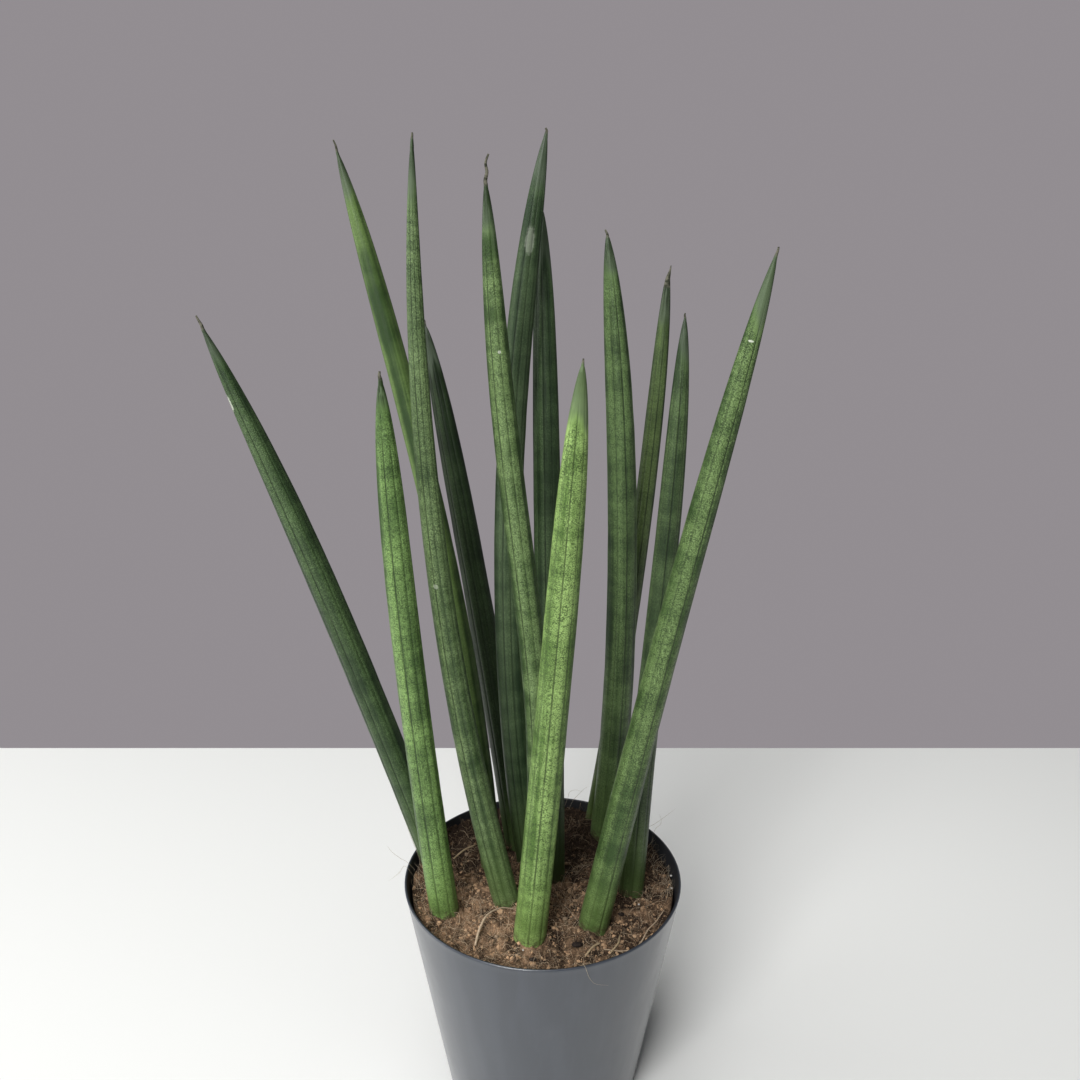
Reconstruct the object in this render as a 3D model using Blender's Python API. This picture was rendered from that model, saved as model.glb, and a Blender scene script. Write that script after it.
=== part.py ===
"""Potted snake plant: thirteen round, upright, pointed leaves in a plain nursery pot.

Metres, +Z up. The pot stands on z = 0 with its axis on the Z axis, and the front is -Y.
The pot's sizes drive the soil. The soil's sizes and the leaves' own sizes drive the planting:
each leaf has a place as a share of the planting circle, and a tip height over the rim.
"""

from collections import namedtuple

import bpy
import numpy as np

# Pot: one moulded plastic shell, open at the top, with drain holes in its floor.
POT_HEIGHT = 0.105
RIM_RADIUS = 0.060
BASE_RADIUS = 0.0430
POT_WALL = 0.0012
POT_FLOOR = 0.0016
POT_CORNER = 0.0025
CORNER_POINTS = 5
LIP_POINTS = 7
POT_SIDES = 72
DRAIN_HOLES = 6
DRAIN_HOLE_RADIUS = 0.0035
DRAIN_CIRCLE = 0.028
DRAIN_SIDES = 16

# Soil: coir and peat, a little lower than the rim at the front and higher at the back. The
# waves of its lumpy top are in radians per metre, along X and along Y.
GAP = 0.0003
SOIL_DROP = 0.0055
SOIL_TILT = 0.0030
SOIL_LUMP = 0.0006
SOIL_WAVES = (310.0, 270.0)
SOIL_SLANT_WAVES = (190.0, 240.0)
SOIL_EDGE = 0.0064
SOIL_RINGS = np.array([1.0, 0.88, 0.76, 0.64, 0.52, 0.40, 0.28, 0.16, 0.05])

# Leaves: each goes on under the soil to a rounded foot, drawn in towards the middle of the pot.
ROOTED_DEPTH = 0.020
ROOTED_PULL = 0.10
ROOTED_WAIST = 0.25
ROOTED_STEPS = np.array([1.0, 0.95, 0.8, 0.4])
FOOT_SHARES = np.array([0.45, 0.8])
LEAF_STEPS = np.array([0.0, 0.12, 0.24, 0.36, 0.48, 0.60, 0.70, 0.79, 0.86, 0.915, 0.955, 0.985, 1.0])
LEAF_SIDES = 16
THREAD_RADIUS = 0.0004
ROOM_STEPS = 80
CHANNEL_DEPTH = 0.10
CHANNEL_WIDTH = 0.45
TIP_POWER = 0.75

# place: x and y as shares of the planting circle. lean: how far the tip stands from the foot.
# rise: the tip's height over the rim. bow and sway: how far the middle bends to the right, and
# an S-bend. radius: at the soil. taper: the share of it lost before the point begins. thread:
# the length of the dry thread at the very tip. power: the higher, the later the point begins.
Leaf = namedtuple("Leaf", "name place lean rise bow sway radius taper thread power colour")
DEEP = (0.035, 0.085, 0.030, 1.0)
MIDDLE = (0.060, 0.135, 0.040, 1.0)
BRIGHT = (0.110, 0.210, 0.060, 1.0)
LEAVES = (
    Leaf("leaf_far_left", (-0.93, 0.265), (-0.0825, 0.0), 0.239,
         0.0036, -0.0004, 0.0059, 0.02, 0.005, 4.5, DEEP),
    Leaf("leaf_short_left", (-0.81, -0.33), (-0.0145, -0.012), 0.226,
         -0.002, 0.0, 0.0060, 0.16, 0.003, 8.0, BRIGHT),
    Leaf("leaf_tall_left_rear", (-0.445, 0.23), (-0.0555, 0.022), 0.301,
         0.008, 0.0005, 0.0045, 0.0, 0.005, 8.0, DEEP),
    Leaf("leaf_tall_left_front", (-0.30, -0.21), (-0.027, -0.014), 0.3025,
         -0.0105, 0.0, 0.0066, 0.54, 0.003, 8.0, MIDDLE),
    Leaf("leaf_rear_left", (-0.21, 0.52), (-0.0375, 0.022), 0.2325,
         0.0015, 0.0, 0.0062, 0.26, 0.003, 8.0, DEEP),
    Leaf("leaf_tall_middle", (-0.07, -0.30), (-0.016, -0.006), 0.296,
         0.0045, 0.0028, 0.0058, 0.16, 0.009, 8.0, MIDDLE),
    Leaf("leaf_short_front", (-0.105, -0.63), (0.018, -0.020), 0.2345,
         0.0005, 0.0, 0.0064, 0.20, 0.002, 8.0, BRIGHT),
    Leaf("leaf_tallest", (-0.11, 0.285), (0.007, 0.004), 0.305,
         -0.012, 0.0, 0.0056, 0.10, 0.002, 8.0, DEEP),
    Leaf("leaf_rear_middle", (0.07, 0.07), (-0.004, 0.028), 0.278,
         0.0005, 0.0, 0.0058, 0.16, 0.002, 8.0, DEEP),
    Leaf("leaf_rear_right", (0.57, 0.67), (-0.005, -0.004), 0.269,
         0.007, 0.0, 0.0070, 0.20, 0.002, 8.0, DEEP),
    Leaf("leaf_thin_rear", (0.48, 0.88), (0.027, 0.014), 0.253,
         0.0035, 0.0, 0.0042, 0.08, 0.002, 8.0, DEEP),
    Leaf("leaf_slim_right", (0.745, -0.09), (0.014, 0.010), 0.241,
         0.0005, -0.0007, 0.0053, 0.18, 0.002, 8.0, DEEP),
    Leaf("leaf_far_right", (0.41, -0.50), (0.054, -0.014), 0.268,
         -0.0015, 0.0, 0.0060, 0.33, 0.003, 8.0, MIDDLE),
)

# Loose strands of coir that lie on the soil: places as shares of the planting circle, and how
# far the middle line of the strand stands over the soil there.
STRAND_RADIUS = 0.0005
STRAND_END_SHARE = 0.5
STRAND_POINTS = 24
STRAND_SIDES = 8
Strand = namedtuple("Strand", "name places lifts")
STRANDS = (
    Strand(
        "coir_strand_arched",
        ((-0.54, -0.70), (-0.52, -0.58), (-0.45, -0.47), (-0.34, -0.40), (-0.23, -0.39), (-0.17, -0.41)),
        (0.0010, 0.0028, 0.0042, 0.0042, 0.0028, 0.0010),
    ),
    Strand(
        "coir_strand_right",
        ((0.48, -0.78), (0.61, -0.80), (0.78, -0.70), (0.85, -0.57), (0.93, -0.47), (1.00, -0.37)),
        (0.0010, 0.0014, 0.0012, 0.0014, 0.0012, 0.0010),
    ),
)


def clear_scene():
    for obj in list(bpy.data.objects):
        bpy.data.objects.remove(obj, do_unlink=True)


def material(name, colour, roughness):
    made = bpy.data.materials.new(name)
    made.use_nodes = True
    shader = made.node_tree.nodes["Principled BSDF"]
    shader.inputs["Base Color"].default_value = colour
    shader.inputs["Roughness"].default_value = roughness
    return made


def mesh_object(name, points, faces, smooth=True):
    """A new mesh object from an array of points and a list of faces."""
    mesh = bpy.data.meshes.new(name)
    mesh.from_pydata(points.tolist(), [], faces)
    mesh.polygons.foreach_set("use_smooth", [smooth] * len(mesh.polygons))
    obj = bpy.data.objects.new(name, mesh)
    bpy.context.scene.collection.objects.link(obj)
    return obj


def ring_faces(rings, sides):
    """Quads between rings of points and a flat face over each end, outward for rings that run
    anticlockwise, seen from the last ring's end."""
    ring, side = np.meshgrid(np.arange(rings - 1), np.arange(sides), indexing="ij")
    here = ring * sides + side
    beside = ring * sides + (side + 1) % sides
    quads = np.stack([here, beside, beside + sides, here + sides], axis=-1).reshape(-1, 4)
    edge = np.arange(sides)
    return quads.tolist() + [edge[::-1].tolist(), (edge + (rings - 1) * sides).tolist()]


def turned(name, radii, heights, sides):
    """A solid turned about Z: the profile runs from the underside, up the outer side, and over
    to the last flat face."""
    angle = np.linspace(0.0, 2.0 * np.pi, sides, endpoint=False)
    around = np.stack([np.cos(angle), np.sin(angle), np.zeros(sides)], axis=-1)
    rings = radii[:, None, None] * around[None]
    rings = rings + heights[:, None, None] * np.array([0.0, 0.0, 1.0])
    return mesh_object(name, rings.reshape(-1, 3), ring_faces(len(radii), sides))


def lofted(name, centres, radii, outline, facing):
    """A round solid along a line of centres. outline gives the section's radius at each side
    as a share of radii, and facing is the level direction in which its first side looks."""
    along = np.gradient(centres, axis=0)
    along /= np.linalg.norm(along, axis=1, keepdims=True)
    first = facing - along * (along @ facing)[:, None]
    first /= np.linalg.norm(first, axis=1, keepdims=True)
    second = np.cross(along, first)
    angle = np.linspace(0.0, 2.0 * np.pi, len(outline), endpoint=False)
    reach = radii[:, None] * outline[None]
    across = (reach * np.cos(angle))[:, :, None] * first[:, None]
    across = across + (reach * np.sin(angle))[:, :, None] * second[:, None]
    points = (centres[:, None] + across).reshape(-1, 3)
    return mesh_object(name, points, ring_faces(len(centres), len(outline)))


def inner_radius(height):
    """The radius of the pot's inner wall at a height over its foot."""
    slope = (RIM_RADIUS - BASE_RADIUS) / POT_HEIGHT
    return BASE_RADIUS - POT_WALL + slope * height


def floor_radius():
    """The radius of the flat inside the pot, within its inner corner."""
    return inner_radius(POT_FLOOR + POT_CORNER / 2.0) - POT_CORNER / 2.0


def soil_height(x, y):
    """The height of the soil before its lumps: a tilted plane under the rim."""
    return POT_HEIGHT - SOIL_DROP + SOIL_TILT * y / RIM_RADIUS


PLANTING_RADIUS = inner_radius(POT_HEIGHT - SOIL_DROP) - GAP - SOIL_EDGE


def make_pot():
    """The shell: a rounded foot, a straight wall, a rounded lip and an inner floor."""
    corner = np.radians(np.linspace(-90.0, 0.0, CORNER_POINTS))
    lip = np.radians(np.linspace(0.0, 180.0, LIP_POINTS))
    lip_radius = POT_WALL / 2.0
    radii = np.concatenate([
        BASE_RADIUS - POT_CORNER + POT_CORNER * np.cos(corner),
        RIM_RADIUS - lip_radius + lip_radius * np.cos(lip),
        [floor_radius() + POT_CORNER / 2.0, floor_radius()],
    ])
    heights = np.concatenate([
        POT_CORNER + POT_CORNER * np.sin(corner),
        POT_HEIGHT - lip_radius + lip_radius * np.sin(lip),
        [POT_FLOOR + POT_CORNER / 2.0, POT_FLOOR],
    ])
    pot = turned("pot", radii, heights, POT_SIDES)
    pot.data.materials.append(material("pot_plastic", (0.060, 0.068, 0.085, 1.0), 0.35))
    for number in range(DRAIN_HOLES):
        angle = 2.0 * np.pi * number / DRAIN_HOLES
        drill_drain_hole(pot, number + 1, DRAIN_CIRCLE * np.cos(angle), DRAIN_CIRCLE * np.sin(angle))
    return pot


def drill_drain_hole(pot, number, x, y):
    radii = np.array([DRAIN_HOLE_RADIUS, DRAIN_HOLE_RADIUS])
    heights = np.array([-POT_FLOOR, 2.0 * POT_FLOOR])
    drill = turned(f"drain_drill_{number}", radii, heights, DRAIN_SIDES)
    drill.location = (x, y, 0.0)
    cut(pot, drill)


def cut(body, cutter):
    """Takes the cutter's shape out of the body, and leaves the cutter out of the object."""
    cutter.hide_render = True
    cutter.display_type = "WIRE"
    difference = body.modifiers.new(cutter.name, "BOOLEAN")
    difference.operation = "DIFFERENCE"
    difference.solver = "EXACT"
    difference.object = cutter


def soil_lumps(x, y):
    """Low lumps from crossed waves, about 20 mm from top to top."""
    crossed = np.sin(SOIL_WAVES[0] * x) * np.cos(SOIL_WAVES[1] * y)
    slanted = np.sin(SOIL_SLANT_WAVES[0] * x - SOIL_SLANT_WAVES[1] * y)
    return SOIL_LUMP * (crossed + slanted) / 2.0


def make_soil():
    """A plug that fills the pot to a gap from its wall, with a lumpy top."""
    bottom = POT_FLOOR + GAP
    corner = bottom + POT_CORNER
    top_radius = inner_radius(POT_HEIGHT - SOIL_DROP - SOIL_TILT) - GAP
    angle = np.linspace(0.0, 2.0 * np.pi, POT_SIDES, endpoint=False)
    reach = np.array([floor_radius() - GAP, inner_radius(corner) - GAP, *(top_radius * SOIL_RINGS)])
    x = reach[:, None] * np.cos(angle)
    y = reach[:, None] * np.sin(angle)
    z = soil_height(x, y) + soil_lumps(x, y)
    z[0] = bottom
    z[1] = corner
    points = np.stack([x, y, z], -1).reshape(-1, 3)
    soil = mesh_object("soil", points, ring_faces(len(reach), POT_SIDES))
    soil.data.materials.append(material("coir_soil", (0.085, 0.050, 0.030, 1.0), 0.95))
    return soil


def leaf_length(leaf):
    x, y = PLANTING_RADIUS * np.array(leaf.place)
    return POT_HEIGHT + leaf.rise - soil_height(x, y)


def under_share(leaf, steps):
    """How deep each step lies, from 0 at the soil and above to 1 at the leaf's foot."""
    return np.maximum(-steps * leaf_length(leaf) / ROOTED_DEPTH, 0.0)


def leaf_centres(leaf, steps):
    """The leaf's middle line: straight from soil to tip, plus its bow and its S-bend. Under the
    soil it turns to upright and is drawn towards the pot's axis, as the square of the depth."""
    place = PLANTING_RADIUS * np.array(leaf.place)
    above = np.maximum(steps, 0.0)[:, None]
    bend = leaf.bow * 4.0 * above * (1.0 - above) + leaf.sway * np.sin(2.0 * np.pi * above)
    level = place + above * np.array(leaf.lean) + bend * np.array([1.0, 0.0])
    slope = np.array(leaf.lean) + np.array([4.0 * leaf.bow + 2.0 * np.pi * leaf.sway, 0.0])
    under = under_share(leaf, steps)[:, None]
    turning = slope * ROOTED_DEPTH / leaf_length(leaf) * (under - under**2 / 2.0)
    level = level - turning - ROOTED_PULL * under**2 * place
    height = soil_height(*place) + leaf_length(leaf) * steps
    return np.concatenate([level, height[:, None]], axis=-1)


def leaf_radii(leaf, steps):
    """Thickest at the soil, tapering slowly and then to a point, with a dry thread beyond it.
    Narrower under the soil."""
    green = 1.0 - leaf.thread / leaf_length(leaf)
    above = np.clip(steps / green, 0.0, 1.0)
    body = leaf.radius * (1.0 - leaf.taper * above) * (1.0 - above**leaf.power) ** TIP_POWER
    return (body + THREAD_RADIUS) * (1.0 - ROOTED_WAIST * under_share(leaf, steps))


def leaf_outline():
    """A circle with a shallow channel on the side that faces the middle of the pot."""
    angle = np.linspace(0.0, 2.0 * np.pi, LEAF_SIDES, endpoint=False)
    turn = np.minimum(angle, 2.0 * np.pi - angle)
    return 1.0 - CHANNEL_DEPTH * np.exp(-((turn / CHANNEL_WIDTH) ** 2))


def thinned(leaves):
    """The leaves, each thinned where two would otherwise meet, so that a gap stays between."""
    lines = []
    widths = []
    for leaf in leaves:
        steps = np.linspace(-ROOTED_DEPTH / leaf_length(leaf), 1.0, ROOM_STEPS)
        lines.append(leaf_centres(leaf, steps))
        widths.append(leaf_radii(leaf, steps))
    shares = np.ones(len(leaves))
    for one in range(len(leaves)):
        for other in range(one + 1, len(leaves)):
            apart = np.linalg.norm(lines[one][:, None] - lines[other][None], axis=-1)
            needed = widths[one][:, None] + widths[other][None] + 2.0 * GAP
            share = min(1.0, (apart / needed).min())
            shares[one] = min(shares[one], share)
            shares[other] = min(shares[other], share)
    return [leaf._replace(radius=leaf.radius * share) for leaf, share in zip(leaves, shares)]


def leaf_solid(leaf, name, growth):
    """One leaf with growth added to its radius, which is the gap when it is a cutter."""
    rooted = ROOTED_DEPTH / leaf_length(leaf)
    steps = np.concatenate([-rooted * ROOTED_STEPS, LEAF_STEPS])
    radii = leaf_radii(leaf, steps) + growth
    radii[: len(FOOT_SHARES)] *= FOOT_SHARES
    centres = leaf_centres(leaf, steps)
    centres[0, 2] -= growth
    inward = -np.array([leaf.place[0], leaf.place[1], 0.0])
    return lofted(name, centres, radii, leaf_outline(), inward / np.linalg.norm(inward))


def make_leaf(leaf, soil):
    body = leaf_solid(leaf, leaf.name, 0.0)
    body.data.materials.append(material(leaf.name + "_skin", leaf.colour, 0.45))
    cut(soil, leaf_solid(leaf, leaf.name + "_socket", GAP))
    return body


def smooth_line(corners, count):
    """Points along a line that passes through the corners, each stretch a blended cubic."""
    padded = np.concatenate([2 * corners[:1] - corners[1:2], corners, 2 * corners[-1:] - corners[-2:-1]])
    place = np.linspace(0.0, len(corners) - 1.0, count)
    stretch = np.minimum(place.astype(int), len(corners) - 2)
    t = (place - stretch)[:, None]
    before, start, end, after = (padded[stretch + shift] for shift in range(4))
    cubic = (3 * (start - end) + after - before) * t**3
    square = (2 * before - 5 * start + 4 * end - after) * t**2
    return (cubic + square + (end - before) * t) / 2.0 + start


def make_strand(strand):
    """A strand that tapers to both ends and lies on the soil, a gap over its lumps."""
    x, y = PLANTING_RADIUS * np.array(strand.places).T
    heights = soil_height(x, y) + soil_lumps(x, y) + np.array(strand.lifts)
    line = smooth_line(np.stack([x, y, heights], -1), STRAND_POINTS)
    over = soil_height(line[:, 0], line[:, 1]) + soil_lumps(line[:, 0], line[:, 1])
    line[:, 2] = np.maximum(line[:, 2], over + STRAND_RADIUS + 2.0 * GAP)
    middle = np.sin(np.pi * np.linspace(0.0, 1.0, STRAND_POINTS))
    radii = STRAND_RADIUS * (STRAND_END_SHARE + (1.0 - STRAND_END_SHARE) * middle)
    body = lofted(strand.name, line, radii, np.ones(STRAND_SIDES), np.array([0.0, 0.0, 1.0]))
    body.data.materials.append(material(strand.name + "_fibre", (0.42, 0.30, 0.18, 1.0), 0.8))
    return body


def main():
    clear_scene()
    make_pot()
    soil = make_soil()
    for leaf in thinned(LEAVES):
        make_leaf(leaf, soil)
    for strand in STRANDS:
        make_strand(strand)


main()
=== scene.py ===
"""A snake plant in its pot: thirteen round pointed leaves, coir soil with loose fibres, and a
plain dark plastic pot on a pale table. Metres, +Z up, front towards -Y."""

import bpy
import numpy as np
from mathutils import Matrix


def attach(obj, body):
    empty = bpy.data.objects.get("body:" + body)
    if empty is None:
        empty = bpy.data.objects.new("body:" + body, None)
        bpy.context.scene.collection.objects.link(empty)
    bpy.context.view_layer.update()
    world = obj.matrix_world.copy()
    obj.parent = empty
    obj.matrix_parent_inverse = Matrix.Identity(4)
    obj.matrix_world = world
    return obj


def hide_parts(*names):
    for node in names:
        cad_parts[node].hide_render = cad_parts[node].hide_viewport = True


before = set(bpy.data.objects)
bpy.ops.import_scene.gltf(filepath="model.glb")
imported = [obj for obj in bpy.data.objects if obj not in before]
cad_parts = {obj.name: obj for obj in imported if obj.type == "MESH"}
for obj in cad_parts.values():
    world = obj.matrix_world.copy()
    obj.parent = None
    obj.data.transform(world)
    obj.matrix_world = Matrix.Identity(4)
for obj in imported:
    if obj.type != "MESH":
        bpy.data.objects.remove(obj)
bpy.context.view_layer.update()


# ---------------------------------------------------------------- the pot
# One thin moulded shell in dark blue-grey plastic with a soft gloss. Its foot and its lip are
# rounded, and six drain holes go through its floor.

POT_HEIGHT = 0.105
RIM_RADIUS = 0.060
BASE_RADIUS = 0.0430
POT_WALL = 0.0012
POT_FLOOR = 0.0016
POT_CORNER = 0.0025
POT_SIDES = 360
DRAIN_HOLES = 6
DRAIN_HOLE_RADIUS = 0.0035
DRAIN_CIRCLE = 0.028
DRAIN_SIDES = 32


def skins(name, rings, values=None):
    """One mesh of closed tubes. rings holds points as (tube, ring, side, axis): quads join each
    ring to the next one, and one flat face closes each end. values holds numbers or vectors for
    each point, by attribute name."""
    tubes, count, sides = rings.shape[:3]
    steps = (np.arange(tubes), np.arange(count - 1), np.arange(sides))
    tube, ring, side = np.meshgrid(*steps, indexing="ij")
    here = (tube * count + ring) * sides + side
    beside = (tube * count + ring) * sides + (side + 1) % sides
    quads = np.stack([here, beside, beside + sides, here + sides], -1).reshape(-1)
    first = (np.arange(tubes) * count * sides)[:, None] + np.arange(sides)
    last = first + (count - 1) * sides
    corners = np.concatenate([quads, first[:, ::-1].reshape(-1), last.reshape(-1)])
    sizes = np.concatenate([np.full(here.size, 4), np.full(2 * tubes, sides)])
    mesh = bpy.data.meshes.new(name)
    mesh.vertices.add(rings.size // 3)
    mesh.vertices.foreach_set("co", rings.astype(np.float32).reshape(-1))
    mesh.loops.add(len(corners))
    mesh.loops.foreach_set("vertex_index", corners.astype(np.int32))
    mesh.polygons.add(len(sizes))
    mesh.polygons.foreach_set("loop_start", (np.cumsum(sizes) - sizes).astype(np.int32))
    mesh.polygons.foreach_set("use_smooth", np.ones(len(sizes), bool))
    for key, value in (values or {}).items():
        kind, field = ("FLOAT_VECTOR", "vector") if value.ndim == 4 else ("FLOAT", "value")
        layer = mesh.attributes.new(key, kind, "POINT")
        layer.data.foreach_set(field, value.astype(np.float32).reshape(-1))
    mesh.update(calc_edges=True)
    piece = bpy.data.objects.new(name, mesh)
    bpy.context.scene.collection.objects.link(piece)
    return piece


def turned(profile, sides):
    """Rings for a shape turned about Z: point(i, a) = (radius i · cos a, radius i · sin a,
    height i)."""
    angle = np.linspace(0.0, 2.0 * np.pi, sides, endpoint=False)
    radius, height = profile[:, :1], profile[:, 1:]
    level = height + 0.0 * angle
    return np.stack([radius * np.cos(angle), radius * np.sin(angle), level], -1)[None]


def inner_radius(height):
    """The radius of the pot's inner wall at a height over its foot."""
    return BASE_RADIUS - POT_WALL + (RIM_RADIUS - BASE_RADIUS) * height / POT_HEIGHT


def pot_profile():
    """Radius and height from the middle of the foot, round its corner, up the wall, over the
    lip and down inside to the middle of the floor."""
    corner = np.radians(np.linspace(-90.0, 0.0, 9))[:, None]
    lip = np.radians(np.linspace(0.0, 180.0, 13))[:, None]
    up = np.linspace(0.03, 0.985, 40)[:, None]
    down = np.linspace(0.985, 0.04, 24)[:, None]
    lip_radius = POT_WALL / 2.0
    foot_middle = (BASE_RADIUS - POT_CORNER) * np.linspace(0.02, 0.98, 6)[:, None]
    floor_edge = inner_radius(POT_FLOOR) - POT_CORNER / 2.0
    floor_middle = floor_edge * np.linspace(0.98, 0.02, 6)[:, None]
    wall = BASE_RADIUS + (RIM_RADIUS - BASE_RADIUS) * up
    return np.concatenate([
        np.hstack([foot_middle, 0.0 * foot_middle]),
        np.hstack([BASE_RADIUS - POT_CORNER + POT_CORNER * np.cos(corner),
                   POT_CORNER + POT_CORNER * np.sin(corner)]),
        np.hstack([wall, POT_HEIGHT * up]),
        np.hstack([RIM_RADIUS - lip_radius + lip_radius * np.cos(lip),
                   POT_HEIGHT - lip_radius + lip_radius * np.sin(lip)]),
        np.hstack([inner_radius(POT_HEIGHT * down), POT_HEIGHT * down]),
        np.hstack([floor_middle, POT_FLOOR + 0.0 * floor_middle]),
    ])


def new_material(name):
    """A material with one Principled shader: the material, its node tree and the shader."""
    made = bpy.data.materials.new(name)
    made.use_nodes = True
    return made, made.node_tree, made.node_tree.nodes["Principled BSDF"]


def stretched_noise(tree, place, scale, detail, roughness=0.5):
    """Noise from 0 to 1 over a place, with a scale of its own along each axis."""
    mapping = tree.nodes.new("ShaderNodeMapping")
    mapping.inputs["Scale"].default_value = scale
    noise = tree.nodes.new("ShaderNodeTexNoise")
    noise.inputs["Scale"].default_value = 1.0
    noise.inputs["Detail"].default_value = detail
    noise.inputs["Roughness"].default_value = roughness
    tree.links.new(place, mapping.inputs["Vector"])
    tree.links.new(mapping.outputs["Vector"], noise.inputs["Vector"])
    return noise.outputs["Fac"]


def between(tree, value, low, high, out_low=0.0, out_high=1.0):
    """The value moved smoothly from low..high to out_low..out_high, and held beyond them."""
    step = tree.nodes.new("ShaderNodeMapRange")
    step.interpolation_type = "SMOOTHSTEP"
    limits = {"From Min": low, "From Max": high, "To Min": out_low, "To Max": out_high}
    for socket, number in limits.items():
        step.inputs[socket].default_value = number
    tree.links.new(value, step.inputs["Value"])
    return step.outputs["Result"]


def maths(tree, operation, *inputs):
    """One Math node over sockets or plain numbers."""
    node = tree.nodes.new("ShaderNodeMath")
    node.operation = operation
    for socket, value in zip(node.inputs, inputs):
        if isinstance(value, (int, float)):
            socket.default_value = value
        else:
            tree.links.new(value, socket)
    return node.outputs[0]


def mixed(tree, share, one, other):
    """Colour one turned to the other colour by a share. Each is a socket or four numbers."""
    node = tree.nodes.new("ShaderNodeMix")
    node.data_type = "RGBA"
    for socket, value in zip((node.inputs[0], node.inputs[6], node.inputs[7]), (share, one, other)):
        if isinstance(value, (tuple, float)):
            socket.default_value = value
        else:
            tree.links.new(value, socket)
    return node.outputs[2]


def bumped(tree, shader, height, distance, strength=1.0):
    """A Bump node from a height socket into the shader's Normal."""
    bump = tree.nodes.new("ShaderNodeBump")
    bump.inputs["Strength"].default_value = strength
    bump.inputs["Distance"].default_value = distance
    tree.links.new(height, bump.inputs["Height"])
    tree.links.new(bump.outputs["Normal"], shader.inputs["Normal"])


def attribute(tree, name):
    """The outputs of a node that reads one of the piece's own attributes."""
    node = tree.nodes.new("ShaderNodeAttribute")
    node.attribute_name = name
    return node.outputs


def pot_plastic():
    """Dark plastic with faint upright streaks from the mould and a little dust. The lip and the
    inside are barer and less glossy, and painted near black as shade."""
    made, tree, shader = new_material("pot_plastic")
    place = tree.nodes.new("ShaderNodeTexCoord").outputs["Object"]
    streaks = stretched_noise(tree, place, (150.0, 150.0, 4.0), 3.0)
    dust = stretched_noise(tree, place, (40.0, 40.0, 25.0), 4.0, 0.6)
    share = between(tree, streaks, 0.35, 0.70)
    colour = mixed(tree, share, (0.028, 0.034, 0.047, 1.0), (0.035, 0.042, 0.057, 1.0))
    cloudy = between(tree, dust, 0.50, 0.80, 0.0, 0.25)
    colour = mixed(tree, cloudy, colour, (0.085, 0.092, 0.105, 1.0))
    inside = attribute(tree, "inside")["Fac"]
    # Painted shade: the inner half of the lip and the inside wall are painted near black.
    colour = mixed(tree, inside, colour, (0.010, 0.011, 0.014, 1.0))
    tree.links.new(colour, shader.inputs["Base Color"])
    rough = between(tree, dust, 0.3, 0.8, 0.30, 0.42)
    rough = maths(tree, "MULTIPLY_ADD", inside, 0.30, rough)
    tree.links.new(rough, shader.inputs["Roughness"])
    glossy = maths(tree, "MULTIPLY_ADD", inside, -0.5, 0.6)
    tree.links.new(glossy, shader.inputs["Coat Weight"])
    shader.inputs["Coat Roughness"].default_value = 0.18
    bumped(tree, shader, streaks, 0.00004)
    return made


def drilled(piece):
    """Takes the drain holes out of the pot's floor and leaves plain faces."""
    angle = 2.0 * np.pi * np.arange(DRAIN_HOLES) / DRAIN_HOLES
    middle = DRAIN_CIRCLE * np.stack([np.cos(angle), np.sin(angle), 0.0 * angle], -1)
    ends = np.array([[DRAIN_HOLE_RADIUS, -POT_FLOOR], [DRAIN_HOLE_RADIUS, 2.0 * POT_FLOOR]])
    hole = turned(ends, DRAIN_SIDES)
    drills = skins("drain_drills", hole + middle[:, None, None])
    drilling = piece.modifiers.new("drain_holes", "BOOLEAN")
    drilling.operation = "DIFFERENCE"
    drilling.solver = "EXACT"
    drilling.object = drills
    graph = bpy.context.evaluated_depsgraph_get()
    mesh = bpy.data.meshes.new_from_object(piece.evaluated_get(graph))
    piece.modifiers.clear()
    piece.data = mesh
    bpy.data.objects.remove(drills)


def mark_inside(mesh):
    """The share 1 on the lip and inside the wall, 0 outside: how far a point lies within the
    outer wall, as a share of the wall's thickness. There the pot is painted near black as shade."""
    points = np.empty(len(mesh.vertices) * 3, np.float32)
    mesh.vertices.foreach_get("co", points)
    points = points.reshape(-1, 3)
    outer = BASE_RADIUS + (RIM_RADIUS - BASE_RADIUS) * points[:, 2] / POT_HEIGHT
    within = (outer - np.hypot(points[:, 0], points[:, 1])) / POT_WALL
    share = np.clip(within * 1.6 - 0.25, 0.0, 1.0) * (points[:, 2] > POT_FLOOR / 2.0)
    layer = mesh.attributes.new("inside", "FLOAT", "POINT")
    layer.data.foreach_set("value", share.astype(np.float32))


pot = skins("pot_shell", turned(pot_profile(), POT_SIDES))
drilled(pot)
mark_inside(pot.data)
pot.data.materials.append(pot_plastic())
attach(pot, "root")
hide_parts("pot")


# ---------------------------------------------------------------- the leaves
# Each leaf is one waxy, nearly round spear with a shallow channel on its inner side, thin
# furrows along it with painted shade in them, soft cross bands and fine dark flecks. A smooth
# point ends in a dry thread.

GAP = 0.0003
ROOTED_DEPTH = 0.020
ROOTED_PULL = 0.10
ROOTED_WAIST = 0.25
THREAD_RADIUS = 0.00034
SOIL_DROP = 0.0055
SOIL_TILT = 0.0030
SOIL_EDGE = 0.0064
PLANTING_RADIUS = inner_radius(POT_HEIGHT - SOIL_DROP) - GAP - SOIL_EDGE
CHANNEL_DEPTH = 0.10
CHANNEL_WIDTH = 0.45
FURROW_DEPTH = 0.018
FURROW_WIDTH = 0.09
THREAD_KINK = 0.0007
THREAD_KINK_LENGTH = 0.0038
SKIN_LUMP = 0.012
SKIN_LUMP_LENGTH = 0.009
LEAF_RINGS = 300
LEAF_SIDES = 88
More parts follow.
